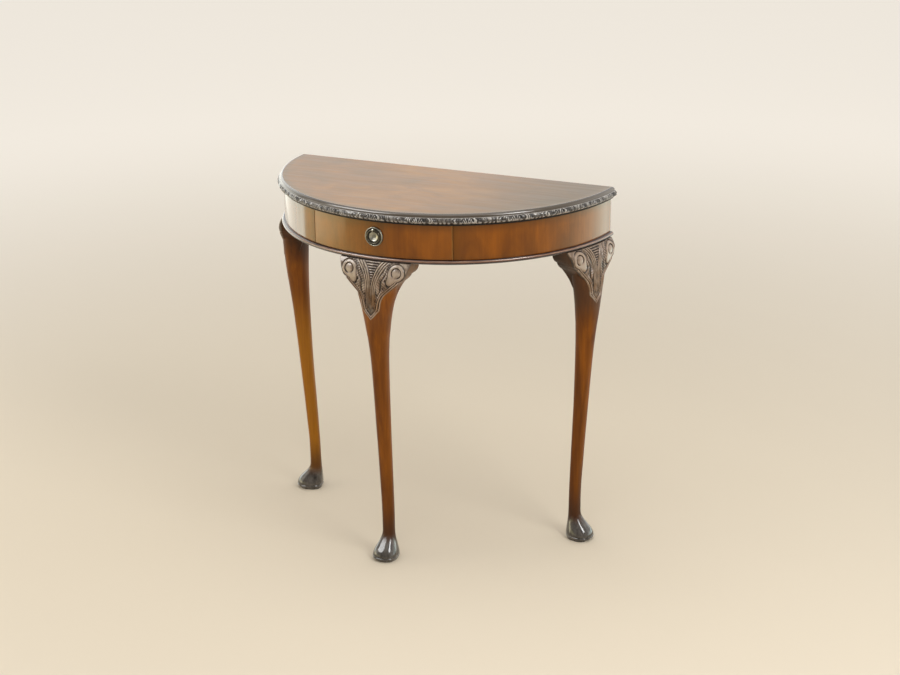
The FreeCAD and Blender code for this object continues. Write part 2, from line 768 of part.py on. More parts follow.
def make_handle():
    eye_height = handle_height + SIZE["ring_radius"]
    eye_face = handle_face - SIZE["ring_stand"]

    plate = new_body("handle_backplate_blank")
    sketch = new_sketch(plate, "section", "XY_Plane")
    plate_section(sketch)
    revolve(plate, sketch, 360)
    place(plate, y=handle_face, z=handle_height)
    plate_hole = rod("plate_hole", SIZE["bolt_radius"] + SIZE["bolt_clearance"], SIZE["overrun"] * 2,
                     ZERO, handle_face - SIZE["overrun"], eye_height, ALONG_Y)
    backplate = combine("Cut", "handle_backplate", plate, plate_hole)

    ring = doc.addObject("Part::Torus", "handle_ring")
    bind(ring, "Radius1", SIZE["ring_radius"])
    bind(ring, "Radius2", SIZE["ring_wire_radius"])
    ring.Placement = FreeCAD.Placement(FreeCAD.Vector(), ALONG_Y)
    place(ring, ZERO, eye_face, handle_height)

    bore_radius = SIZE["ring_wire_radius"] + SIZE["eye_clearance"]
    disc = rod("eye_disc", SIZE["eye_radius"], SIZE["eye_width"], -SIZE["eye_width"] / 2,
               eye_face, eye_height, ALONG_X)
    inside_length = SIZE["nut_height"] + SIZE["bolt_tail"]
    shank_length = SIZE["ring_stand"] + SIZE["drawer_front_thickness"] + inside_length
    shank = rod("eye_shank", SIZE["bolt_radius"], shank_length, ZERO, eye_face, eye_height, ALONG_Y)
    bore = rod("eye_bore", bore_radius, SIZE["bolt_radius"] * 4, -SIZE["bolt_radius"] * 2,
               eye_face, eye_height, ALONG_X)
    eyebolt = combine("Cut", "handle_eyebolt", combine("Fuse", "eye_blank", disc, shank), bore)

    hexagon = doc.addObject("Part::Prism", "nut_blank")
    hexagon.Polygon = 6
    bind(hexagon, "Circumradius", SIZE["nut_radius"])
    bind(hexagon, "Height", SIZE["nut_height"])
    hexagon.Placement = FreeCAD.Placement(FreeCAD.Vector(), ALONG_Y)
    nut_face = axis_y - front_inner_radius + SIZE["nut_clearance"]
    place(hexagon, ZERO, nut_face, eye_height)
    thread = rod("nut_thread", SIZE["bolt_radius"] + SIZE["nut_clearance"],
                 SIZE["nut_height"] + SIZE["overrun"], ZERO, nut_face - SIZE["overrun"] / 2,
                 eye_height, ALONG_Y)
    nut = combine("Cut", "handle_nut", hexagon, thread)
    return [backplate, ring, eyebolt, nut]


# Legs and ears

def rounded(share):
    return math.copysign(abs(share) ** (2 / OVAL_EXPONENT), share)


def leg_ring(front, back, width, height):
    """Level oval across a leg, between its front and back radii, starting at its back."""
    middle, half = (front + back) / 2, (front - back) / 2
    spots = []
    for step in range(OVAL_POINTS):
        angle = math.pi / 2 + 2 * math.pi * step / OVAL_POINTS
        x = width / 2 * rounded(math.cos(angle))
        y = half * rounded(math.sin(angle)) - middle
        spots.append(FreeCAD.Vector(x, y, height))
    curve = Part.BSplineCurve()
    curve.interpolate(Points=spots, PeriodicFlag=True)
    return Part.Wire(curve.toShape())


def leg_solid():
    """Cabriole leg as one loft from the pad foot up to the knee, standing at the front."""
    ankle = [size.value for size in (ankle_front_radius, ankle_back_radius, SIZE["ankle_width"])]
    foot = [size.value for size in (toe_radius, heel_radius, SIZE["pad_width"])]
    knee = [size.value for size in (knee_front_radius, knee_back_radius, SIZE["knee_width"])]
    ankle_height = SIZE["ankle_height"].value
    shin_height = leg_height.value - ankle_height
    rings = []
    for height, *shares in FOOT_SHARES:
        sizes = [low + (high - low) * share for low, high, share in zip(ankle, foot, shares)]
        rings.append(leg_ring(*sizes, height * ankle_height))
    for height, *shares in SHIN_SHARES:
        sizes = [low + (high - low) * share for low, high, share in zip(ankle, knee, shares)]
        rings.append(leg_ring(*sizes, ankle_height + height * shin_height))
    return Part.makeLoft(rings, True)


def ear_blank(name, side, turn, reach):
    """Bracket beside a knee: bowed in plan, its underside slanting up to the nose, its top tucked back."""
    inner = SIZE["knee_width"] * (EAR_OVERLAP_SHARE * side)
    outer = reach * side
    edges = sorted((inner, outer), key=lambda size: size.value)
    front = SIZE["ear_inset"] - knee_front_radius
    middle = front + SIZE["ear_plan_radius"]
    back = SIZE["ear_depth"] - knee_front_radius
    body = plan_piece(name, bow_panel, SIZE["ear_drop"], leg_height - SIZE["ear_drop"],
                      SIZE["ear_plan_radius"], *edges, back, middle=middle)
    place(body, y=axis_y, z=leg_height - SIZE["ear_drop"], turn=turn)
    doc.recompute()
    cut = new_sketch(body, "underside", "XZ_Plane")
    shoulder = SIZE["knee_width"] / 2 * side
    outline(cut, (
        (shoulder, ZERO),
        (outer, SIZE["ear_drop"] - SIZE["ear_nose"]),
        (outer + SIZE["overrun"] * side, SIZE["ear_drop"] - SIZE["ear_nose"]),
        (outer + SIZE["overrun"] * side, -SIZE["overrun"]),
        (shoulder, -SIZE["overrun"]),
    ))
    pocket(body, cut)
    doc.recompute()
    tuck = new_sketch(body, "tuck", "YZ_Plane")
    low = SIZE["ear_drop"] - SIZE["ear_tuck_height"]
    high = SIZE["ear_drop"] + SIZE["overrun"]
    outline(tuck, (
        (front, low),
        (front + SIZE["ear_tuck_depth"], SIZE["ear_drop"]),
        (front + SIZE["ear_tuck_depth"], high),
        (front - SIZE["overrun"], high),
        (front - SIZE["overrun"], low),
    ))
    pocket(body, tuck)
    return body


def make_legs(leg_holes):
    shape = leg_solid()
    nodes = []
    for leg, turn in LEG_TURNS.items():
        blank = doc.addObject("Part::Feature", f"leg_{leg}_blank")
        blank.Shape = shape
        rotation = FreeCAD.Rotation(UP, turn.value)
        blank.Placement = FreeCAD.Placement(FreeCAD.Vector(0, axis_y.value, 0), rotation)
        nodes.append(combine("Cut", f"leg_{leg}", blank, leg_holes))
        for side, sign in SIDES.items():
            name = f"ear_{leg}_{side}"
            reach = SIZE["rear_ear_reach"] if side == leg else SIZE["ear_reach"]
            nodes.append(combine("Cut", name, ear_blank(f"{name}_blank", sign, turn, reach), blank))
    return nodes


def check(nodes):
    """Stop if any object failed or any piece came out empty or broken."""
    for item in doc.Objects:
        if "Invalid" in item.State or "Error" in item.State:
            raise RuntimeError(f"{item.Label} failed: {item.State}")
    for node in nodes:
        if node.Shape.isNull() or not node.Shape.isValid() or not node.Shape.Solids:
            raise RuntimeError(f"{node.Label} has no sound solid")


def main():
    fixings, leg_holes, top_holes = make_fixings()
    nodes = make_top(top_holes) + make_carcase(leg_holes, top_holes) + make_drawer_guides()
    nodes += make_drawer() + make_handle() + make_legs(leg_holes) + fixings
    doc.recompute()
    check(nodes)
    os.makedirs("parts", exist_ok=True)
    for node in nodes:
        node.Shape.exportStep(f"parts/{node.Label}.step")
        print(f"{node.Label}: {len(node.Shape.Solids)} solid(s), {node.Shape.Volume:.1f} mm3")


main()
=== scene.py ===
# Looks of the demilune table: carved knees and edge, figured veneers, brass ring pull.
# Metres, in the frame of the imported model: the front faces -Y and the floor is at z = 0.
# Legs and the curved edge are drawn about the axis of the half circle, in millimetres, and set in place.

import math

import bpy
import numpy as np
from mathutils import Matrix, Vector


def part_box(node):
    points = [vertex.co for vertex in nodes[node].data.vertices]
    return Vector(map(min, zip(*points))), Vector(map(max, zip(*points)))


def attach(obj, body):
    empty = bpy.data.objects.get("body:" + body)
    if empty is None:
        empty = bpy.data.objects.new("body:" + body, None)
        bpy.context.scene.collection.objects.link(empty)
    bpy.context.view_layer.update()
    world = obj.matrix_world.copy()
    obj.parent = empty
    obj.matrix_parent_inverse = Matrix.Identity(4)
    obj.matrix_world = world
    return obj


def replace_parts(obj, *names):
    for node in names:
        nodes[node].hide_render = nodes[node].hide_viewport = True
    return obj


MM = 0.001

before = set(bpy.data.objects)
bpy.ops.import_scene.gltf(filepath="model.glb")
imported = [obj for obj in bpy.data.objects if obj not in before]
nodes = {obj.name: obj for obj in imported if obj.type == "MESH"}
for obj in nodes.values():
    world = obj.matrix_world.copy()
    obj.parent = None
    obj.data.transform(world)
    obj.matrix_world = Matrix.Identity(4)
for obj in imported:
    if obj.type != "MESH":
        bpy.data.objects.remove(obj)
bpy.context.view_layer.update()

# The half circle, read from the flat top: its radius, and the axis behind the straight back edge
veneer_low, veneer_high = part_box("top_veneer")
top_depth = veneer_high.y - veneer_low.y
top_radius = (top_depth + veneer_high.x ** 2 / top_depth) / 2
axis_y = veneer_low.y + top_radius
back_setback = (top_radius - top_depth) / MM
plateau_radius = top_radius / MM
leg_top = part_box("leg_front")[1].z / MM
top_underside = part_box("top_edge_moulding")[0].z / MM
LEG_TURNS = {"front": 0.0, "left": -76.0, "right": 76.0}


# Meshes

def make_object(name, points, faces, material, smooth=True, relief=None):
    """Mesh object from points in millimetres about the axis, with an optional carving depth per point."""
    mesh = bpy.data.meshes.new(name)
    mesh.from_pydata((np.asarray(points) * MM).tolist(), [], faces)
    mesh.update()
    if smooth:
        mesh.shade_smooth()
    if relief is not None:
        mesh.attributes.new("relief", "FLOAT", "POINT").data.foreach_set("value", relief)
    obj = bpy.data.objects.new(name, mesh)
    obj.data.materials.append(material)
    bpy.context.scene.collection.objects.link(obj)
    return obj


def set_turned(obj, degrees=0.0):
    """Stand a piece on the axis of the half circle, turned from the front."""
    obj.data.transform(Matrix.Rotation(math.radians(degrees), 4, "Z"))
    obj.location = (0, axis_y, 0)
    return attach(obj, "table")


def grid_faces(rows, columns, wrap=False, offset=0):
    """Quads of a grid whose columns may close into a ring."""
    row, column = np.mgrid[0:rows - 1, 0:columns if wrap else columns - 1]
    right = (column + 1) % columns
    corners = [row * columns + column, row * columns + right,
               (row + 1) * columns + right, (row + 1) * columns + column]
    return (np.stack([corner.ravel() for corner in corners], axis=1) + offset).tolist()


def spline(table, at):
    """Smooth curve through a table of (place, value) rows, without overshoot."""
    x, y = np.array(table, float).T
    step = np.diff(x)
    slope = np.diff(y) / step
    tangent = np.zeros_like(y)
    same = slope[1:] * slope[:-1] > 0
    tangent[1:-1][same] = 2 / (1 / slope[1:][same] + 1 / slope[:-1][same])
    tangent[0], tangent[-1] = slope[0], slope[-1]
    at = np.clip(at, x[0], x[-1])
    index = np.clip(np.searchsorted(x, at) - 1, 0, len(x) - 2)
    t = (at - x[index]) / step[index]
    rise = (1 - t) ** 2 * (y[index] * (1 + 2 * t) + step[index] * tangent[index] * t)
    fall = t ** 2 * (y[index + 1] * (3 - 2 * t) + step[index] * tangent[index + 1] * (t - 1))
    return rise + fall


def ramp(low, high, value):
    """Smooth step from 0 at low to 1 at high."""
    t = np.clip((value - low) / (high - low), 0, 1)
    return t * t * (3 - 2 * t)


def bump(distance, width):
    """Rounded ridge: 1 on the line and 0 from half its width away."""
    return np.sqrt(np.clip(1 - (2 * distance / width) ** 2, 0, 1))


def ridges(value, pitch, width):
    """Row of rounded ridges, one in the middle of each pitch."""
    return bump(np.mod(value, pitch) - pitch / 2, width)


def wave(value, length):
    """Soft wave from 0 to 1."""
    return 0.5 + 0.5 * np.cos(2 * math.pi * value / length)


# Leg: rows of height, front radius, back radius and width, from the pad foot up to the bead
LEG_ROWS = (
    (0, 366.5, 317, 46.5), (3.5, 369, 316, 49.2), (6.2, 372.4, 314.7, 52.6), (8.4, 372.8, 314.5, 53),
    (9.8, 371.2, 315.4, 51.4), (11.2, 372.4, 314.5, 52.6), (15, 371.8, 314.2, 51.7),
    (22, 368.4, 314.2, 47), (28, 363.4, 314.4, 42), (34, 357.2, 314.8, 36.8), (40, 351, 315.3, 31.8),
    (46, 345.8, 315.8, 28), (52, 342.4, 316.2, 25.9), (60, 341, 316.5, 25), (85, 340.9, 317.2, 25.2),
    (111, 341.4, 317.8, 25.5), (171, 345.4, 320.3, 26.5), (240, 350.6, 323.6, 28),
    (309, 356.2, 326.9, 30.2), (379, 362.2, 328.9, 31.9), (439, 368.2, 330, 34.2),
    (490, 374.4, 330.5, 41), (508, 376.6, 330.5, 46.5), (534, 379.1, 330.4, 54.6),
    (558, 380.4, 330.2, 64.4), (576, 380.9, 330.1, 74), (590, 380.9, 330, 82), (602, 380.6, 330, 86),
    (620, 379.6, 330, 86), (640, 375.6, 330, 86), (661, 367.6, 330, 86),
)
# Power of the leg's section: 2 would be an oval, and more is squarer
LEG_OVAL = 2.4
# Rows of the leg's mesh up to the knee (from, to, count), those of the knee, and its sides
LEG_STEPS = ((0, 14, 43), (14, 70, 40), (70, 530, 120))
KNEE_ROWS = 90
LEG_SIDES = 120
# Carved shield on the knee: half width at each height, and the section of its face
SHIELD_TIP = 538.0
SHIELD_WIDTH = (
    (538, 0.8), (544, 6), (550, 11.5), (556, 17), (560, 20), (566, 21.4), (573, 22.6), (580, 24.4),
    (586, 27), (591, 30), (595, 33.3), (600, 38.5), (604.5, 43.2), (610, 49), (615, 54.3), (619, 58.5),
    (621.5, 60), (623.5, 63.5), (627, 66.5), (633, 69.4), (642, 72.2), (648, 74.4), (655, 76.6),
    (661, 78),
)
SHIELD_LEAN = -3.0
SHIELD_RIDGE = (
    (538, 379.9), (550, 380.5), (570, 380.95), (595, 380.95), (612, 380.5), (628, 378.9), (640, 377),
    (650, 374.4), (656, 371.8), (661, 368.6),
)
SHIELD_CURVE = (
    (538, 70), (550, 85), (561, 95), (573, 100), (585, 105), (595, 115), (604, 180), (613, 260),
    (625, 360), (633, 460), (642, 500), (655, 380), (661, 350),
)
CARVE_DEPTH = 3.6
SHEET_DEPTH = 8.0
LEG_HOLLOW = CARVE_DEPTH + 1.2
BACK_RELIEF = 0.9
CARVING_GRID = (220, 226)
# Carving: sides of the hatched triangle, ribs beside it, volutes (place from the middle, height) and rims
HATCH_SIDE = (
    (538, 0), (600, 0.4), (612, 0.8), (620, 1.6), (628, 3.1), (636, 5.3), (644, 8.5), (652, 13),
    (661, 20.5),
)
RIB_COUNT = 3
RIB_PITCH = ((538, 2.5), (560, 2.9), (585, 3.2), (605, 3.6), (625, 4.2), (645, 4.9), (661, 5.4))
VOLUTE = (52.6, 639.8)
DISC_RADIUS, RING_RADIUS, SCROLL_RADIUS = 9.2, 11.0, 17.0
LOBE_REACH, LOBE_ANGLE, LOBE_SPREAD = 14.0, -1.0, 0.42
MOUTH_ANGLE, MOUTH_SPREAD = -1.3, 0.62
RIM_PLACES, RIM_WIDTH, RIM_END = (1.4, 5.2), 3.2, 7.4
HATCH_START, HATCH_PITCH, HATCH_WIDTH = 625, 5.0, 3.6
RUNG_PITCH, RUNG_WIDTH, RUNG_REACH = 4.2, 2.5, 2.4
VEIN_PITCH, VEIN_DEPTH = 5.6, 0.4
# Small deep drops between the leaves: place from the middle, height and size
LEAF_EYES = (
    (30, 622, 2), (35, 613, 1.7), (21, 604, 2), (27, 606, 1.6), (14, 592, 1.8), (10, 579, 1.7),
    (6, 564, 1.5),
)
# Ear beside the knee: radius of its back, and half width of its front and of its back, at each height
EAR_BACK = ((556, 348), (572, 339), (586, 334), (600, 328), (612, 323), (622, 321), (661, 321))
EAR_INNER = 26.0
EAR_SINK = 6.0
EAR_GRID = (100, 30)
# How far an ear reaches to its side: less beside the straight back of the table
EAR_REACH, BACK_EAR_REACH = 79.0, 72.0
EAR_FRONT_WIDTH = (
    (556, 24), (572, 27), (588, 30), (594, 33), (600, 38.5), (606, 44.5), (612, 50.5), (616, 54.5),
    (619, 57.5), (621.5, 59.5), (623.5, 62.5), (627, 65.7), (633, 68.6), (642, 71.4), (648, 73.6),
    (655, 75.8), (661, 77.2),
)
EAR_BACK_WIDTH = (
    (556, 27), (572, 31.5), (586, 35), (597, 39), (606, 43.5), (613, 48.5), (616, 52.5), (621, 57),
    (625, 60), (628, 61.2), (630, 64.5), (634, 70), (639, 74), (645, 76.5), (652, 77.7), (661, 78),
)


def lean(z):
    """Sideways shift of the middle of the shield, which runs a little aslant towards its tip."""
    return SHIELD_LEAN * (1 - ramp(595, 645, z))


def shield_face(x, z):
    """Radius of the uncarved face of the knee, nearly flat across the carving."""
    return spline(SHIELD_RIDGE, z) - x ** 2 / (2 * spline(SHIELD_CURVE, z))


def knee_relief(x, z):
    """Depth of the carving below the face of the knee, 0 on its highs and 1 at its deepest."""
    side = np.abs(x - lean(z))
    edge = (spline(SHIELD_WIDTH, z) - side) * 0.72
    # Places: across the ribs, and out from the middle of the volute with the swell of its band
    flank = (side - spline(HATCH_SIDE, z)) * spline(((538, 1), (618, 0.97), (640, 0.86), (661, 0.78)), z)
    pitch = spline(RIB_PITCH, z)
    reach = np.hypot(side - VOLUTE[0], z - VOLUTE[1])
    angle = np.arctan2(z - VOLUTE[1], VOLUTE[0] - side)
    scroll = SCROLL_RADIUS + LOBE_REACH * np.exp(-((angle - LOBE_ANGLE) / LOBE_SPREAD) ** 2)
    # Leaves: long strands that sway down between the ribs and the volute or the rim
    inner = np.clip(flank - RIB_COUNT * pitch - 0.5, 0, None)
    outer = np.clip(np.minimum(reach - scroll - 1.0, edge - RIM_END), 0, None)
    flow = inner / np.maximum(inner + outer, 0.1) + 0.16 * np.sin(2 * math.pi * (z - 560) / 46)
    strand = ridges(1.6 * flow + 0.2, 1, 0.94)
    height = 0.12 + strand * (0.5 + 0.4 * wave(z + 20 * flow, 38))
    height = height * (1 - VEIN_DEPTH * ridges(z + 0.7 * side, VEIN_PITCH, VEIN_PITCH * 0.4))
    # Ribs along both sides of the hatched triangle, running together into the stem
    ribs = ridges(flank, pitch, pitch * 0.86)
    rib_zone = ramp(-0.6, 0.4, flank) * (1 - ramp(-0.3, 0.5, flank - RIB_COUNT * pitch))
    rib_low = 0.42 + 0.22 * wave(side * 1.6 - z, 12)
    ribs = rib_low + (0.08 + 0.84 * ribs - rib_low) * ramp(545, 592, z)
    height = height * (1 - rib_zone) + ribs * rib_zone
    # Hatched triangle under the bead
    inside = ramp(0.2, 1.0, -flank)
    hatch = 0.06 + 0.66 * ridges(z - HATCH_START, HATCH_PITCH, HATCH_WIDTH)
    height = height * (1 - inside) + hatch * inside
    # Volute: a domed disc, a ring groove open below, and a broad rounded band
    disc = 0.5 + 0.5 * np.sqrt(np.clip(1 - (reach / DISC_RADIUS) ** 2, 0, 1))
    band = 0.5 + 0.5 * bump((reach - RING_RADIUS) / (scroll - RING_RADIUS) - 0.35, 1.3)
    mouth = 0.8 * np.exp(-((angle - MOUTH_ANGLE) / MOUTH_SPREAD) ** 4)
    eye = np.where(reach < DISC_RADIUS, np.maximum(disc, mouth * (reach > DISC_RADIUS * 0.7)),
                   np.where(reach < RING_RADIUS, np.maximum(0.05, mouth), band))
    eye_zone = 1 - ramp(-0.4, 0.6, reach - scroll)
    height = height * (1 - eye_zone) + eye * eye_zone
    # Plain end beyond the volute, with a groove between them
    end = ramp(0.5, 1.2, reach - scroll) * ramp(2.0, 6.0, side - VOLUTE[0]) * ramp(621, 626, z)
    height = height * (1 - end) + 0.7 * end
    outside = ramp(-4.0, 5.0, side - VOLUTE[0])
    height = height * (1 - (0.45 + 0.1 * outside) * bump(reach - scroll - 0.7, 2.0))
    # Double rim along the lower edge, with a ladder of cuts between the rims near the tip
    rim = np.max([bump(edge - place, RIM_WIDTH) for place in RIM_PLACES], axis=0)
    rung = 0.85 * ridges(z - 0.9 * side, RUNG_PITCH, RUNG_WIDTH) * (1 - ramp(562, 570, z))
    rim = np.maximum(rim, rung * (np.abs(edge - np.mean(RIM_PLACES)) < RUNG_REACH))
    rim_zone = (1 - ramp(-0.6, 0.1, edge - RIM_END)) * (1 - ramp(619, 627, z))
    height = height * (1 - rim_zone) + (0.04 + 0.96 * rim) * rim_zone
    for eye_side, eye_z, size in LEAF_EYES:
        drop = np.hypot(side - eye_side, (z - eye_z) * 0.45)
        height = height * (1 - 0.9 * (1 - ramp(size * 0.35, size, drop)))
    # The border of the shield itself is never cut away
    return 1 - np.clip(np.maximum(height, 0.6 * (1 - ramp(0.0, 0.9, edge))), 0, 1)


def slab(rows, left, right, columns, front, back, narrow=lambda x, z: x):
    """Closed plate over rows of heights: a front and a back face, and walls between their borders."""
    share = np.linspace(0, 1, columns)
    z = np.repeat(rows[:, None], columns, axis=1)
    x = left[:, None] * (1 - share) + right[:, None] * share
    sheets = [np.stack([x, -front(x, z), z], axis=2), np.stack([narrow(x, z), -back(x, z), z], axis=2)]
    count = len(rows) * columns
    faces = grid_faces(len(rows), columns)
    faces += [quad[::-1] for quad in grid_faces(len(rows), columns, offset=count)]
    grid = np.arange(count).reshape(len(rows), columns)
    border = np.concatenate([grid[0], grid[1:, -1], grid[-1, -2::-1], grid[-2:0:-1, 0]])
    after = np.roll(border, -1)
    faces += np.stack([after, border, border + count, after + count], axis=1).tolist()
    return np.concatenate([sheet.reshape(-1, 3) for sheet in sheets]), faces


def knee_carving(name, material, turn, reach_left, reach_right):
    """Carved shield over the front of one knee."""
    rows = np.linspace(SHIELD_TIP, leg_top, CARVING_GRID[0])
    widest = spline(SHIELD_WIDTH, rows)
    left = np.maximum(lean(rows) - widest, -reach_left)
    right = np.minimum(lean(rows) + widest, reach_right)
    points, faces = slab(rows, left, right, CARVING_GRID[1],
                         lambda x, z: shield_face(x, z) - CARVE_DEPTH * knee_relief(x, z),
                         lambda x, z: shield_face(x, z) - SHEET_DEPTH)
    front = points[:len(points) // 2]
    relief = np.concatenate([knee_relief(front[:, 0], front[:, 2]), np.full(len(front), BACK_RELIEF)])
    return set_turned(make_object(name, points, faces, material, relief=relief), turn)


def ear(name, material, turn, side, reach):
    """Bracket behind one wing of the shield, narrower towards its back."""
    rows = np.linspace(EAR_FRONT_WIDTH[0][0], leg_top, EAR_GRID[0])
    inner = np.full_like(rows, side * EAR_INNER)
    outer = side * np.minimum(spline(EAR_FRONT_WIDTH, rows), reach)
    left, right = (outer, inner) if side < 0 else (inner, outer)

    def narrow(x, z):
        wide = np.minimum(spline(EAR_FRONT_WIDTH, z), reach)
        slim = np.minimum(spline(EAR_BACK_WIDTH, z), reach)
        share = (np.abs(x) - EAR_INNER) / (wide - EAR_INNER)
        return side * (EAR_INNER + share * (slim - EAR_INNER))

    points, faces = slab(rows, left, right, EAR_GRID[1], lambda x, z: shield_face(x, z) - EAR_SINK,
                         lambda x, z: spline(EAR_BACK, z), narrow)
    return set_turned(make_object(name, points, faces, material, smooth=False), turn)


def leg(name, material, turn):
    """Cabriole leg, hollowed a little where the carved shield covers it."""
    heights = np.minimum(np.array(LEG_ROWS)[:, 0], leg_top)
    steps = (*LEG_STEPS, (LEG_STEPS[-1][1], leg_top, KNEE_ROWS))
    rows = np.unique(np.concatenate([heights, *(np.linspace(*step) for step in steps)]))
    front, back, width = (spline([(row[0], row[column]) for row in LEG_ROWS], rows)[:, None]
                          for column in (1, 2, 3))
    angle = np.linspace(0, 2 * math.pi, LEG_SIDES, endpoint=False)[None, :]
    ways = (np.cos(angle), np.sin(angle))
    across, inward = (np.sign(way) * np.abs(way) ** (2 / LEG_OVAL) for way in ways)
    x = width / 2 * across
    radius = (front + back) / 2 - (front - back) / 2 * inward
    z = np.repeat(rows[:, None], angle.size, axis=1)
    edge = (spline(SHIELD_WIDTH, z) - np.abs(x - lean(z))) * ramp(SHIELD_TIP, SHIELD_TIP + 8, z)
    hollow = np.where(inward < 0.1, LEG_HOLLOW * ramp(1.0, 4.0, edge), 0)
    points = np.stack([x, hollow - radius, z], axis=2).reshape(-1, 3)
    faces = [quad[::-1] for quad in grid_faces(len(rows), angle.size, wrap=True)]
    ring = list(range(angle.size))
    faces += [ring, [index + (len(rows) - 1) * angle.size for index in ring[::-1]]]
    return set_turned(make_object(name, points, faces, material), turn)


# Edge moulding: section as radius beyond the flat and height above the underside
MOULDING_SECTION = (
    (0, 0), (1.5, 0), (3.4, 1), (4.4, 3.2), (6.2, 4.6), (9.6, 6.4), (11.5, 8.6), (11.9, 10.8),
    (11.4, 13.2), (10.2, 15.4), (8.3, 17.2), (6.6, 17.6), (6.5, 18.2), (6, 20.4), (4.6, 22.4),
    (2.8, 23.5), (0.8, 24), (0, 24),
)
MOULDING_COLUMNS, SECTION_ROWS, BAND_ROWS = 1400, 20, 34
# The carved band: its first and last knot in the section, its lowest and highest rise, and its mean reach
BAND_KNOTS = (4, 10)
BAND_LOW, BAND_HIGH = 4.6, 17.0
BAND_REACH = 10
BAND_DEPTH = 2.1
# Marks for the material: painted shade under the band, plain above it
UNDER_RELIEF, PLAIN_RELIEF = 1.0, -1.0
FLUTE_PITCH = 5.4
TIP_PITCH = 9.7
MOTIF_PITCH = 97.0


def band_relief(along, rise):
    """Carved band of leaf fans, ribbons and bent strokes, 0 on its highs and 1 at its deepest."""
    turn = 2 * math.pi * along / MOTIF_PITCH
    place = np.mod(along + MOTIF_PITCH / 2, MOTIF_PITCH) - MOTIF_PITCH / 2
    level = np.clip((rise - BAND_LOW) / (BAND_HIGH - BAND_LOW), 0, 1)
    # Strokes: bent, leaning away from the fans, and high or low in turn
    bent = np.abs(place) + 6.0 * level + 1.6 * np.sin(2 * math.pi * level) + 2.2 * np.sin(3 * turn)
    stroke = ridges(bent, FLUTE_PITCH, FLUTE_PITCH * 0.9)
    stroke = stroke * (0.42 + 0.58 * wave(along + 9 * level, 21.5))
    # Fans of leaves, and ribbons midway between them
    fan = wave(np.abs(place) - 4.5 * level, 3.2 + 1.6 * level)
    ribbon = 0.2 + 0.6 * ridges(bent, 2 * FLUTE_PITCH, 2 * FLUTE_PITCH) * (0.35 + 0.65 * level)
    ribbon_zone = ramp(34.0, 38.0, np.abs(place))
    height = stroke * (1 - ribbon_zone) + ribbon * ribbon_zone
    fan_reach = np.hypot(place / 11.0, (level - 0.4) / 0.66)
    height = np.where(fan_reach < 1, 0.15 + 0.85 * fan, height)
    height = height * (1 - 0.9 * bump(fan_reach - 1.06, 0.2))
    # Leaf tips in a row along the lower edge
    tip = ridges(along + 2.0 * np.sin(2 * turn), TIP_PITCH, TIP_PITCH * 0.85)
    height = np.maximum(height, 0.95 * tip * (1 - ramp(0.3, 0.44, level)))
    within = 1 - ramp(0.93, 1.0, level)
    return (1 - height) * within


def edge_moulding(material):
    """Moulding round the curve of the top, with its band carved, cut off along the straight back."""
    knots = np.array(MOULDING_SECTION)
    length = np.concatenate([[0], np.cumsum(np.hypot(*np.diff(knots, axis=0).T))])
    low, high = (length[knot] for knot in BAND_KNOTS)
    band_places = np.linspace(low, high, BAND_ROWS)
    at = np.unique(np.concatenate([length, band_places, np.linspace(0, length[-1], SECTION_ROWS)]))
    in_band = (at >= low) & (at <= high)
    reach = np.interp(at, length, knots[:, 0])
    rise = np.interp(at, length, knots[:, 1])
    columns = MOULDING_COLUMNS
    share = np.linspace(-1, 1, columns)[:, None]
    radius = plateau_radius + np.repeat(reach[None, :], columns, axis=0)
    height = np.repeat(rise[None, :], columns, axis=0)
    # Each point keeps its share of the sweep, so that a cut end stays flat along the back
    theta = share * np.arccos(back_setback / radius)
    relief = band_relief(theta * (plateau_radius + BAND_REACH), height) * in_band
    radius = radius - BAND_DEPTH * relief
    theta = share * np.arccos(back_setback / radius)
    relief = np.where(in_band, relief, np.where(at < low, UNDER_RELIEF, PLAIN_RELIEF))
    points = np.stack([radius * np.sin(theta), -radius * np.cos(theta), top_underside + height], axis=2)
    rows = len(at)
    faces = grid_faces(columns, rows, wrap=True)
    faces += [list(range(rows))[::-1], [index + (columns - 1) * rows for index in range(rows)]]
    obj = make_object("edge_moulding_carved", points.reshape(-1, 3), faces, material, relief=relief.ravel())
    return set_turned(obj)


# Round plate of the ring pull: radius, height off the drawer, and how dark it is, from the dish to the rim
PLATE_PROFILE = (
    (0, 0.8, 0.1), (2.3, 0.9, 0.1), (4.6, 1.35, 0.1), (6.6, 2.1, 0.05), (8.3, 3.1, 0), (9.3, 3.8, 0),
    (9.7, 3.7, 0.2), (10, 3, 0.9), (10.2, 1.8, 1), (10.6, 1.5, 1), (16.6, 1.5, 1), (17, 2, 0.8),
    (17.3, 3, 0.2), (17.8, 3.6, 0), (18.4, 3.8, 0), (18.9, 3.5, 0.1), (19.3, 2.5, 0.4),
    (19.5, 1.2, 0.8), (19.5, 0, 1),
)
PLATE_SIDES = 72


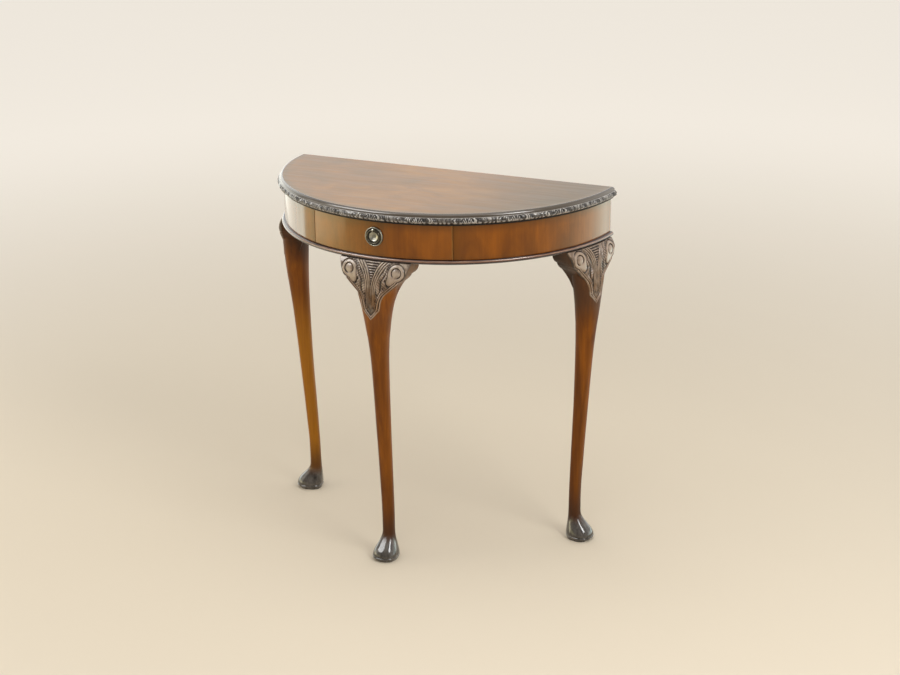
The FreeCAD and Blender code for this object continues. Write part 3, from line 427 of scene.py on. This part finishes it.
def handle_plate(material):
    """Turned plate with a dish in the middle, a dark sunk ring and a raised rim."""
    low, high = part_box("handle_backplate")
    knots = np.array(PLATE_PROFILE)
    angle = np.linspace(0, 2 * math.pi, PLATE_SIDES, endpoint=False)
    radius, rise, dark = (np.repeat(column[1:, None], PLATE_SIDES, axis=1) for column in knots.T)
    points = np.stack([radius * np.cos(angle), -rise, radius * np.sin(angle)], axis=2).reshape(-1, 3)
    points = np.concatenate([points, [[0, -knots[0, 1], 0]]])
    faces = grid_faces(len(knots) - 1, PLATE_SIDES, wrap=True)
    middle = len(points) - 1
    faces += [[middle, index, (index + 1) % PLATE_SIDES] for index in range(PLATE_SIDES)]
    faces.append([middle - PLATE_SIDES + index for index in range(PLATE_SIDES)])
    relief = np.append(dark.ravel(), knots[0, 2])
    obj = make_object("handle_plate_turned", points, faces, material, relief=relief)
    obj.location = ((low.x + high.x) / 2, high.y, (low.z + high.z) / 2)
    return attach(obj, "drawer")


# Materials

class Nodes:
    """Node tree with short ways to add and link nodes."""

    def __init__(self, tree):
        self.tree = tree

    def put(self, socket, value):
        """Link a socket, or set its constant."""
        if isinstance(value, bpy.types.NodeSocket):
            self.tree.links.new(value, socket)
        else:
            socket.default_value = value

    def add(self, kind, inputs=None, **settings):
        """New node with these inputs and settings."""
        node = self.tree.nodes.new(kind)
        for key, value in settings.items():
            setattr(node, key, value)
        for key, value in (inputs or {}).items():
            self.put(node.inputs[key], value)
        return node

    def calc(self, operation, *values):
        """Result of one step of arithmetic."""
        node = self.add("ShaderNodeMath", dict(enumerate(values)), operation=operation)
        return node.outputs["Value"]

    def split(self, spot):
        """X, Y and Z of a vector."""
        return self.add("ShaderNodeSeparateXYZ", {"Vector": spot}).outputs

    def span(self, value, low, high, to_low=0.0, to_high=1.0, way="SMOOTHSTEP"):
        """Value carried over from one range to another, and held at its ends."""
        inputs = {"Value": value, "From Min": low, "From Max": high, "To Min": to_low, "To Max": to_high}
        return self.add("ShaderNodeMapRange", inputs, interpolation_type=way).outputs["Result"]

    def ramp(self, value, *stops):
        """Colour of a value on a ramp; a ramp starts out with two stops, and further ones are added."""
        node = self.add("ShaderNodeValToRGB", {"Fac": value})
        for index, (place, colour) in enumerate(stops):
            elements = node.color_ramp.elements
            stop = elements[index] if index < 2 else elements.new(place)
            stop.position = place
            stop.color = (*colour, 1)
        return node.outputs["Color"]

    def mix(self, share, first, second, blend="MIX"):
        """Mix of two colours: inputs 0, 6 and 7 and output 2 are the node's sockets for colours."""
        node = self.add("ShaderNodeMix", data_type="RGBA", blend_type=blend)
        colours = [(*value, 1) if isinstance(value, tuple) else value for value in (first, second)]
        self.put(node.inputs[0], share)
        self.put(node.inputs[6], colours[0])
        self.put(node.inputs[7], colours[1])
        return node.outputs[2]


class Shader(Nodes):
    """Material with a procedural surface."""

    def __init__(self, name):
        self.material = bpy.data.materials.new(name)
        self.material.use_nodes = True
        super().__init__(self.material.node_tree)
        self.surface = self.tree.nodes["Principled BSDF"]
        self.spot = self.add("ShaderNodeTexCoord").outputs["Object"]
        self.axes = self.split(self.spot)

    def noise(self, scale, detail=4.0, rough=0.55, warp=0.0):
        """Noise on the place in metres, with a scale along each axis that sets its size and stretch."""
        spot = self.add("ShaderNodeMapping", {"Vector": self.spot, "Scale": scale}).outputs["Vector"]
        inputs = {"Vector": spot, "Scale": 1.0, "Detail": detail, "Roughness": rough, "Distortion": warp}
        return self.add("ShaderNodeTexNoise", inputs).outputs["Fac"]

    def radius(self, middle_y=0.0):
        """Distance from the upright axis that passes through x = 0 and this y."""
        inputs = {0: self.spot, 1: (1, 1, 0), 2: (0, -middle_y, 0)}
        flat = self.add("ShaderNodeVectorMath", inputs, operation="MULTIPLY_ADD").outputs["Vector"]
        return self.add("ShaderNodeVectorMath", {0: flat}, operation="LENGTH").outputs["Value"]

    def finish(self, colour, rough, bump_of=None, strength=0.1, depth=0.0004, **sockets):
        """Put colour, roughness, bump and any other sockets on the surface."""
        self.put(self.surface.inputs["Base Color"], (*colour, 1) if isinstance(colour, tuple) else colour)
        self.put(self.surface.inputs["Roughness"], rough)
        if bump_of is not None:
            inputs = {"Height": bump_of, "Strength": strength, "Distance": depth}
            self.put(self.surface.inputs["Normal"], self.add("ShaderNodeBump", inputs).outputs["Normal"])
        for name, value in sockets.items():
            self.put(self.surface.inputs[name.replace("_", " ")], value)
        return self.material


def top_veneer():
    """Figured walnut under a polish that shows wear: soft warm clouds, long grain, short pores, a greyer
    border and painted shade towards its right.
    """
    shader = Shader("top_veneer_walnut")
    clouds = shader.noise((2.6, 5.0, 5.0), detail=2.5, warp=0.6)
    patches = shader.noise((13, 19, 19), detail=4.0, rough=0.6, warp=0.8)
    grain = shader.noise((5, 75, 75), detail=5.0, rough=0.6)
    pores = shader.noise((45, 800, 800), detail=3.0)
    figure = shader.calc("MULTIPLY", shader.calc("ADD", clouds, patches), 0.5)
    tone = shader.ramp(figure, (0.36, (0.255, 0.135, 0.034)), (0.64, (0.405, 0.187, 0.026)),
                       (0.5, (0.325, 0.153, 0.03)))
    streak = shader.ramp(grain, (0.3, (0.78, 0.77, 0.76)), (0.7, (1.08, 1.06, 1.04)))
    fine = shader.ramp(pores, (0.35, (0.84, 0.82, 0.8)), (0.62, (1.05, 1.04, 1.03)))
    colour = shader.mix(0.7, shader.mix(0.7, tone, streak, "MULTIPLY"), fine, "MULTIPLY")
    # Painted shade: the top grows darker towards its right
    painted_shade_right = shader.span(shader.axes["X"], 0.03, 0.34, 0, 0.72)
    colour = shader.mix(painted_shade_right, colour, (0.075, 0.052, 0.008))
    border = shader.span(shader.radius(axis_y), top_radius - 0.016, top_radius - 0.004, 0, 0.5)
    colour = shader.mix(border, colour, (0.2, 0.13, 0.055))
    rough = shader.span(grain, 0.3, 0.7, 0.3, 0.4)
    return shader.finish(colour, rough, pores, 0.04, 0.0001, IOR=1.45, Coat_Weight=0.36, Coat_Roughness=0.2)


def frieze_veneer(name, light, dark, seam):
    """Veneer with cloudy upright figure under a gloss polish, soiled at the seams, with painted shade below
    the top.
    """
    shader = Shader(name)
    bands = shader.noise((17, 17, 7.0), detail=4.0, rough=0.55, warp=0.9)
    grain = shader.noise((150, 150, 7), detail=5.0, rough=0.6, warp=0.3)
    pores = shader.noise((1300, 1300, 60), detail=2.0)
    tone = shader.ramp(bands, (0.32, dark), (0.68, light))
    streak = shader.ramp(grain, (0.3, (0.8, 0.77, 0.72)), (0.68, (1.07, 1.05, 1.03)))
    colour = shader.mix(0.8, tone, streak, "MULTIPLY")
    colour = shader.mix(shader.span(pores, 0.6, 0.75, 0, 0.35), colour, (0.05, 0.015, 0.003))
    # Painted shade along the top of the frieze, under the overhang of the moulding
    colour = shader.mix(shader.span(shader.axes["Z"], 0.718, 0.738, 0, 0.45), colour, (0.05, 0.017, 0.003))
    # Seams beside the drawer: a pale edge on the drawer, a dark gap, dirt beyond it, and no polish on them
    from_seam = shader.calc("SUBTRACT", shader.calc("ABSOLUTE", shader.axes["X"]), seam)
    line = shader.span(shader.calc("ABSOLUTE", from_seam), 0.0006, 0.002, 0.7, 0)
    side = shader.span(from_seam, -0.0003, 0.0003)
    soiled = shader.calc("MULTIPLY", shader.span(from_seam, 0.0, 0.02, 0.5, 0), side)
    colour = shader.mix(soiled, colour, (0.05, 0.017, 0.003))
    edge = shader.ramp(side, (0.4, (0.33, 0.16, 0.045)), (0.6, (0.02, 0.009, 0.004)))
    colour = shader.mix(line, colour, edge)
    dull = shader.calc("MAXIMUM", shader.span(line, 0, 0.7), shader.span(soiled, 0, 0.5, 0, 0.6))
    rough = shader.calc("ADD", shader.span(bands, 0.3, 0.7, 0.1, 0.16), shader.span(line, 0, 0.7, 0, 0.6))
    return shader.finish(colour, rough, grain, 0.03, 0.0002, IOR=1.42, Specular_Tint=(1.0, 0.8, 0.4, 1.0),
                         Coat_Weight=shader.span(dull, 0, 1, 0.35, 0), Coat_IOR=1.35, Coat_Roughness=0.08)


def leg_wood():
    """Stained leg: upright grain, warm along the shin, near black and glossy at the foot."""
    shader = Shader("leg_walnut")
    bands = shader.noise((55, 55, 3.5), detail=3.0, warp=0.4)
    grain = shader.noise((260, 260, 9), detail=5.0, rough=0.6)
    scuffs = shader.noise((90, 90, 60), detail=5.0, rough=0.65)
    warm = shader.ramp(bands, (0.32, (0.13, 0.036, 0.001)), (0.68, (0.28, 0.084, 0.0015)))
    streak = shader.ramp(grain, (0.3, (0.68, 0.62, 0.55)), (0.7, (1.08, 1.06, 1.04)))
    colour = shader.mix(0.75, warm, streak, "MULTIPLY")
    up = shader.axes["Z"]
    # Grey on the ears, partly wear and partly painted light; on the left leg, painted light below its knee
    # instead
    left = shader.span(shader.axes["X"], -0.32, -0.25, 1, 0)
    painted_light_left_shin = shader.calc("MULTIPLY", left, shader.span(up, 0.35, 0.5, 0.75, 0))
    fresh = shader.span(shader.axes["X"], -0.25, -0.15)
    scuffed = shader.span(scuffs, 0.35, 0.65, 0.5, 1.0)
    wear_and_painted_light = shader.calc("MULTIPLY", shader.span(up, 0.59, 0.63, 0, 0.75), scuffed)
    colour = shader.mix(shader.calc("MULTIPLY", wear_and_painted_light, fresh), colour, (0.2, 0.15, 0.1))
    # Painted shade on the knees of both side legs, reaching lower on the right leg, deepest on their inner
    # faces
    aside = shader.span(shader.calc("ABSOLUTE", shader.axes["X"]), 0.15, 0.25)
    knee = shader.calc("MULTIPLY", shader.span(up, 0.52, 0.63, 0, 0.85), aside)
    right = shader.span(shader.axes["X"], 0.2, 0.3)
    right = shader.calc("MULTIPLY", right, shader.span(up, 0.47, 0.56, 0, 0.75))
    knee = shader.calc("MAXIMUM", knee, right)
    colour = shader.mix(knee, colour, (0.045, 0.018, 0.006))
    inward = shader.span(shader.radius(), 0.335, 0.37, 1, 0)
    inner = shader.calc("MULTIPLY", inward, shader.span(up, 0.5, 0.62, 0, 0.85))
    inner = shader.calc("MULTIPLY", inner, aside)
    colour = shader.mix(inner, colour, (0.022, 0.01, 0.005))
    # Darker down the shin to a near black foot
    shin = shader.span(up, 0.08, 0.34, 0.4, 0)
    colour = shader.mix(shin, colour, (0.07, 0.02, 0.002))
    # Painted light: the left leg lighter and warmer below its knee
    colour = shader.mix(painted_light_left_shin, colour, shader.mix(0.6, (0.43, 0.17, 0.008), streak, "MULTIPLY"))
    ankle = shader.span(up, 0.05, 0.13, 0.72, 0)
    colour = shader.mix(ankle, colour, (0.04, 0.016, 0.008))
    foot = shader.span(up, 0.03, 0.056, 1, 0)
    slate = shader.ramp(scuffs, (0.35, (0.032, 0.026, 0.02)), (0.7, (0.13, 0.114, 0.097)))
    colour = shader.mix(foot, colour, slate)
    rough = shader.calc("ADD", shader.span(foot, 0, 1, 0.32, 0.2), shader.span(up, 0.5, 0.58, 0, 0.3))
    upper = shader.calc("MULTIPLY", shader.span(up, 0.47, 0.56, 0, 0.3), fresh)
    polish = shader.calc("MAXIMUM", shader.span(foot, 0, 1, 0.1, 1.0), upper)
    return shader.finish(colour, rough, grain, 0.05, 0.0003,
                         IOR=1.25, Coat_Weight=polish, Coat_Roughness=0.1)


def carved_wood(name, high, middle, low, rough_high, coat, brown=None, plain=None):
    """Carving with painted shade in its cuts and pale highs, partly wear and partly painted sheen; brown
    tints a knee and paints shade on the one to the right, plain an uncut moulding.
    """
    shader = Shader(name)
    depth = shader.add("ShaderNodeAttribute", attribute_name="relief").outputs["Fac"]
    wear = shader.noise((120, 120, 60), detail=5.0, rough=0.65)
    wear_and_painted_light = shader.calc("ADD", depth, shader.span(wear, 0.3, 0.7, -0.2, 0.2))
    # Painted shade in the cuts and painted sheen on the highs, mottled by wear
    colour = shader.ramp(wear_and_painted_light, (0.05, high), (0.85, low), (0.4, middle))
    if brown:
        patch = shader.noise((45, 45, 30), detail=3.0)
        near_tip = shader.span(shader.axes["Z"], 0.58, 0.65, 1.0, 0.1)
        share = shader.calc("MULTIPLY", near_tip, shader.span(patch, 0.35, 0.6, 0.4, 1.0))
        # Painted shade: browner and darker on the knee to the right
        share = shader.calc("MAXIMUM", share, shader.span(shader.axes["X"], 0.1, 0.25, 0, 0.45))
        colour = shader.mix(share, colour, shader.mix(shader.span(wear_and_painted_light, 0.1, 0.8), brown, low))
    rough = shader.span(depth, 0.5, 1.0, rough_high, 0.85)
    polish = shader.span(depth, 0.3, 0.9, coat, 0.0)
    if plain:
        carved = shader.span(depth, -0.9, -0.1)
        colour = shader.mix(carved, plain, colour)
        wear = shader.calc("MULTIPLY", wear, carved)
    return shader.finish(colour, rough, wear, 0.15, 0.0003,
                         IOR=1.42, Coat_Weight=polish, Coat_Roughness=0.1)


def plain_wood(name, light, dark, scale, rough=0.55):
    """Bare or plainly finished timber with its grain along one way."""
    shader = Shader(name)
    grain = shader.noise(scale, detail=6.0, rough=0.62, warp=0.4)
    broad = shader.noise(tuple(value * 0.22 for value in scale), detail=2.0)
    colour = shader.ramp(grain, (0.3, dark), (0.7, light))
    colour = shader.mix(shader.span(broad, 0.35, 0.65, 0, 0.35), colour, dark)
    return shader.finish(colour, rough, grain, 0.12)


def bead_wood():
    """Bead: painted shade in the quirk and underneath, and a painted highlight along its upper swell."""
    shader = Shader("bead_walnut")
    grain = shader.noise((30, 30, 300), detail=6.0, rough=0.62, warp=0.4)
    # Colour by the way the surface faces: painted highlight on the upper swell, painted shade below
    up = shader.split(shader.add("ShaderNodeNewGeometry").outputs["Normal"])["Z"]
    wear_and_painted_light = shader.calc("ADD", up, shader.span(grain, 0.3, 0.7, -0.12, 0.12))
    colour = shader.ramp(shader.span(wear_and_painted_light, -1, 1), (0.36, (0.022, 0.009, 0.006)),
                         (0.62, (0.125, 0.05, 0.028)), (0.82, (0.38, 0.215, 0.13)),
                         (0.93, (0.13, 0.06, 0.036)), (1.0, (0.02, 0.008, 0.005)))
    return shader.finish(colour, 0.25, grain, 0.1, 0.0002, Coat_Weight=0.5, Coat_Roughness=0.12)


def metal(name, bright, dull, rough, patina=None):
    """Aged metal: clouds of tarnish, and a dark patina where the relief is deep."""
    shader = Shader(name)
    tarnish = shader.noise((160, 160, 160), detail=6.0, rough=0.65)
    colour = shader.ramp(tarnish, (0.32, dull), (0.62, bright))
    gloss = shader.span(tarnish, 0.3, 0.7, rough + 0.15, rough)
    if not patina:
        return shader.finish(colour, gloss, tarnish, 0.08, Metallic=1.0)
    depth = shader.add("ShaderNodeAttribute", attribute_name="relief").outputs["Fac"]
    colour = shader.mix(depth, colour, patina)
    bare = shader.span(depth, 0.3, 0.95, 1.0, 0.1)
    return shader.finish(colour, gloss, tarnish, 0.08, Metallic=bare)


seam_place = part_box("drawer_front_veneer")[1].x
MATERIALS = {
    "top": top_veneer(),
    "frieze": frieze_veneer("frieze_walnut", light=(0.265, 0.07, 0.001), dark=(0.155, 0.038, 0.001),
                            seam=seam_place),
    "leg": leg_wood(),
    "knee": carved_wood("knee_carving", high=(0.43, 0.345, 0.265), middle=(0.16, 0.11, 0.074),
                        low=(0.024, 0.014, 0.008), rough_high=0.3, coat=0.55, brown=(0.23, 0.115, 0.045)),
    "edge": carved_wood("edge_carving", high=(0.42, 0.39, 0.35), middle=(0.08, 0.067, 0.056),
                        low=(0.008, 0.006, 0.005), rough_high=0.2, coat=0.55, plain=(0.09, 0.07, 0.05)),
    "bead": bead_wood(),
    "timber": plain_wood("bare_timber", (0.36, 0.24, 0.14), (0.22, 0.135, 0.07), (6, 120, 120)),
    "upright": plain_wood("bare_timber_deep", (0.36, 0.24, 0.14), (0.22, 0.135, 0.07), (120, 6, 120)),
    "brass": metal("antique_brass", (0.46, 0.44, 0.37), (0.2, 0.185, 0.145), 0.2),
    "ring": metal("dark_brass", (0.11, 0.1, 0.075), (0.03, 0.026, 0.018), 0.2),
    "plate": metal("antique_brass_plate", (0.5, 0.48, 0.4), (0.25, 0.24, 0.19), 0.3, (0.012, 0.009, 0.006)),
    "steel": metal("screw_steel", (0.5, 0.49, 0.47), (0.22, 0.2, 0.18), 0.35),
}


def material_of(node):
    """Material of a CAD node."""
    if node == "top_veneer":
        return MATERIALS["top"]
    if "veneer" in node:
        return MATERIALS["frieze"]
    if node == "bead_moulding":
        return MATERIALS["bead"]
    if node == "handle_ring":
        return MATERIALS["ring"]
    if node.startswith("handle_"):
        return MATERIALS["brass"]
    if node.endswith("screws"):
        return MATERIALS["steel"]
    if node.startswith(("leg_", "ear_")) and node != "leg_dowels":
        return MATERIALS["leg"]
    if node.startswith(("drawer_side", "drawer_runner", "drawer_guide", "drawer_kicker")):
        return MATERIALS["upright"]
    return MATERIALS["timber"]


for node, obj in nodes.items():
    obj.data.materials.clear()
    obj.data.materials.append(material_of(node))

for leg_name, turn in LEG_TURNS.items():
    reaches = {side: BACK_EAR_REACH if side == leg_name else EAR_REACH for side in ("left", "right")}
    shaft = leg(f"leg_{leg_name}_shaped", MATERIALS["leg"], turn)
    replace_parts(shaft, f"leg_{leg_name}")
    carving = knee_carving(f"knee_carving_{leg_name}", MATERIALS["knee"], turn,
                           reaches["left"], reaches["right"])
    for side, sign in (("left", -1), ("right", 1)):
        bracket = ear(f"ear_{leg_name}_{side}_shaped", MATERIALS["leg"], turn, sign, reaches[side])
        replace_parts(bracket, f"ear_{leg_name}_{side}")

moulding = edge_moulding(MATERIALS["edge"])
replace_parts(moulding, "top_edge_moulding")
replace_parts(handle_plate(MATERIALS["plate"]), "handle_backplate")


# Floor, light and camera

FLOOR_COLOUR = (0.78, 0.68, 0.53)
FLOOR_SIZE = 60
FLOOR_LIFT, FLOOR_LIFT_REACH = 0.42, (0.5, 4.4)


def make_floor():
    """Pale floor, lifted towards white far from the table as the eye and the reflections see it."""
    bpy.ops.mesh.primitive_plane_add(size=FLOOR_SIZE)
    floor = bpy.context.object
    floor.name = "floor"
    shader = Shader("pale_floor")
    away = shader.add("ShaderNodeVectorMath", {0: shader.spot}, operation="LENGTH").outputs["Value"]
    path = shader.add("ShaderNodeLightPath").outputs
    seen = shader.calc("MAXIMUM", path["Is Camera Ray"], path["Is Glossy Ray"])
    seen = shader.calc("MAXIMUM", seen, path["Is Transmission Ray"])
    lift = shader.calc("MULTIPLY", seen, shader.span(away, *FLOOR_LIFT_REACH, 0, FLOOR_LIFT))
    floor.data.materials.append(shader.finish(FLOOR_COLOUR, 1.0, Specular_IOR_Level=0.0,
                                              Emission_Color=(1, 1, 1, 1), Emission_Strength=lift))


def add_lamp(name, spot, target, size, power, tint=(1, 1, 1), glossy=True, diffuse=True):
    """Area lamp that isn't seen itself; it may leave out reflections or soft light."""
    light = bpy.data.lights.new(name, "AREA")
    light.shape = "RECTANGLE"
    light.size, light.size_y = size
    light.energy = power
    light.color = tint
    lamp = bpy.data.objects.new(name, light)
    lamp.location = spot
    lamp.rotation_euler = (Vector(target) - Vector(spot)).to_track_quat("-Z", "Y").to_euler()
    lamp.visible_camera = False
    lamp.visible_glossy = glossy
    lamp.visible_diffuse = diffuse
    bpy.context.scene.collection.objects.link(lamp)


# Brightness of the room by the way it lies from the table, in degrees from the front, and of its ceiling
ROOM = (
    (-180, 1), (180, 1), (-118, 1.05), (-95, 0.6), (-60, 0.45), (-20, 0.2), (40, 0.15), (80, 0.3),
    (110, 0.8), (140, 1),
)
CEILING = 0.5


def make_world():
    """Pale room: bright behind the table, dim in front of it."""
    world = bpy.data.worlds.new("room")
    bpy.context.scene.world = world
    world.use_nodes = True
    room = Nodes(world.node_tree)
    ways = room.split(room.add("ShaderNodeTexCoord").outputs["Generated"])
    turn = room.calc("ARCTAN2", ways["X"], room.calc("MULTIPLY", ways["Y"], -1.0))
    turn = room.span(turn, -math.pi, math.pi, way="LINEAR")
    walls = room.ramp(turn, *((angle / 360 + 0.5, (level,) * 3) for angle, level in ROOM))
    shade = room.mix(room.span(ways["Z"], 0.45, 0.85), walls, (CEILING,) * 3)
    room.put(room.tree.nodes["Background"].inputs["Color"], shade)


# Low glow of the room on both sides, as runs of lamps: turn from the front in degrees, and power
WALL_GLOW = ((-129, 0.1), (-117, 0.16), (-105, 0.3), (-93, 0.68))
LEFT_GLOW = ((-87, 0.42), (-72, 0.62), (-60, 0.66), (-45, 0.52), (-30, 0.28), (-15, 0.06))
RIGHT_GLOW = (
    (69, 0.03), (81, 0.08), (93, 0.2), (105, 0.35), (120, 0.58), (129, 0.72), (135, 0.83), (141, 0.87),
    (147, 0.6), (153, 0.32), (159, 0.32),
)
GLOW_REACH, GLOW_HEIGHT, GLOW_STEP = 2.0, 0.24, 6.0
GLOW_AIM = (0, 0, 0.4)
GLOW_SIZE = (0.212, 0.46)


def make_glow(name, table, tint):
    """Row of narrow lamps on a curve about the table, seen only as a soft reflection."""
    for turn in np.arange(table[0][0], table[-1][0] + 1, GLOW_STEP):
        spot = Matrix.Rotation(math.radians(turn), 3, "Z") @ Vector((0, -GLOW_REACH, GLOW_HEIGHT))
        power = float(spline(table, turn))
        add_lamp(f"{name}{turn:.0f}", spot, GLOW_AIM, GLOW_SIZE, power, tint, diffuse=False)


# Where the photograph was taken from: place about the axis in millimetres, the way it looks in degrees
CAMERA_PLACE = (1642.48, -3391.05, 1690.28)
CAMERA_YAW, CAMERA_PITCH, CAMERA_ROLL = 26.018, 19.148, -0.629
CAMERA_LENS, CAMERA_SENSOR = 72.528, 36


def make_camera():
    """Camera that stands where the photograph was taken."""
    yaw, pitch, roll = (math.radians(angle) for angle in (CAMERA_YAW, CAMERA_PITCH, CAMERA_ROLL))
    ahead = Vector((-math.sin(yaw) * math.cos(pitch), math.cos(yaw) * math.cos(pitch), -math.sin(pitch)))
    right = Vector((math.cos(yaw), math.sin(yaw), 0))
    up = right.cross(ahead)
    turned_right = right * math.cos(roll) + up * math.sin(roll)
    turned_up = up * math.cos(roll) - right * math.sin(roll)
    data = bpy.data.cameras.new("camera")
    data.lens = CAMERA_LENS
    data.sensor_width = CAMERA_SENSOR
    camera = bpy.data.objects.new("camera", data)
    bpy.context.scene.collection.objects.link(camera)
    matrix = Matrix((turned_right, turned_up, -ahead)).transposed().to_4x4()
    matrix.translation = Vector(CAMERA_PLACE) * MM + Vector((0, axis_y, 0))
    camera.matrix_world = matrix
    bpy.context.scene.camera = camera


make_floor()
make_world()
add_lamp("left_wall", (-2.2, 1.35, 1.1), (0, 1.35, 1.1), (2.6, 2.16), 16, (0.98, 1.0, 0.9), diffuse=False)
add_lamp("left_window", (-2.1, -1.0, 0.7), (0, -0.1, 0.6), (1.3, 1.3), 8, (1.0, 0.93, 0.78))
add_lamp("left_skylight", (-1.7, -1.6, 2.6), (0, 0, 0.7), (2.0, 1.6), 85, diffuse=False)
make_glow("wall_glow", WALL_GLOW, (0.85, 1.0, 0.9))
make_glow("left_glow", LEFT_GLOW, (1.0, 0.88, 0.42))
make_glow("right_glow", RIGHT_GLOW, (0.84, 1.0, 0.92))
add_lamp("right_wall", (1.75, 1.55, 1.2), (0, 0, 1.2), (2.3, 1.3), 5.5, (1.0, 0.97, 0.86), diffuse=False)
add_lamp("right_window", (2.2, -0.85, 2.25), (0, 0, 0.6), (1.1, 1.3), 26)
add_lamp("right_skylight", (2.2, -0.65, 2.4), (0, 0, 0.7), (0.5, 1.0), 19, diffuse=False)
add_lamp("ceiling", (0.0, -0.3, 3.0), (0, -0.3, 0), (2.4, 2.4), 24)
add_lamp("front_fill", (0.9, -3.2, 1.9), (0, 0, 0.45), (2.0, 1.6), 24, glossy=False)
make_camera()
bpy.context.scene.view_settings.view_transform = "Standard"
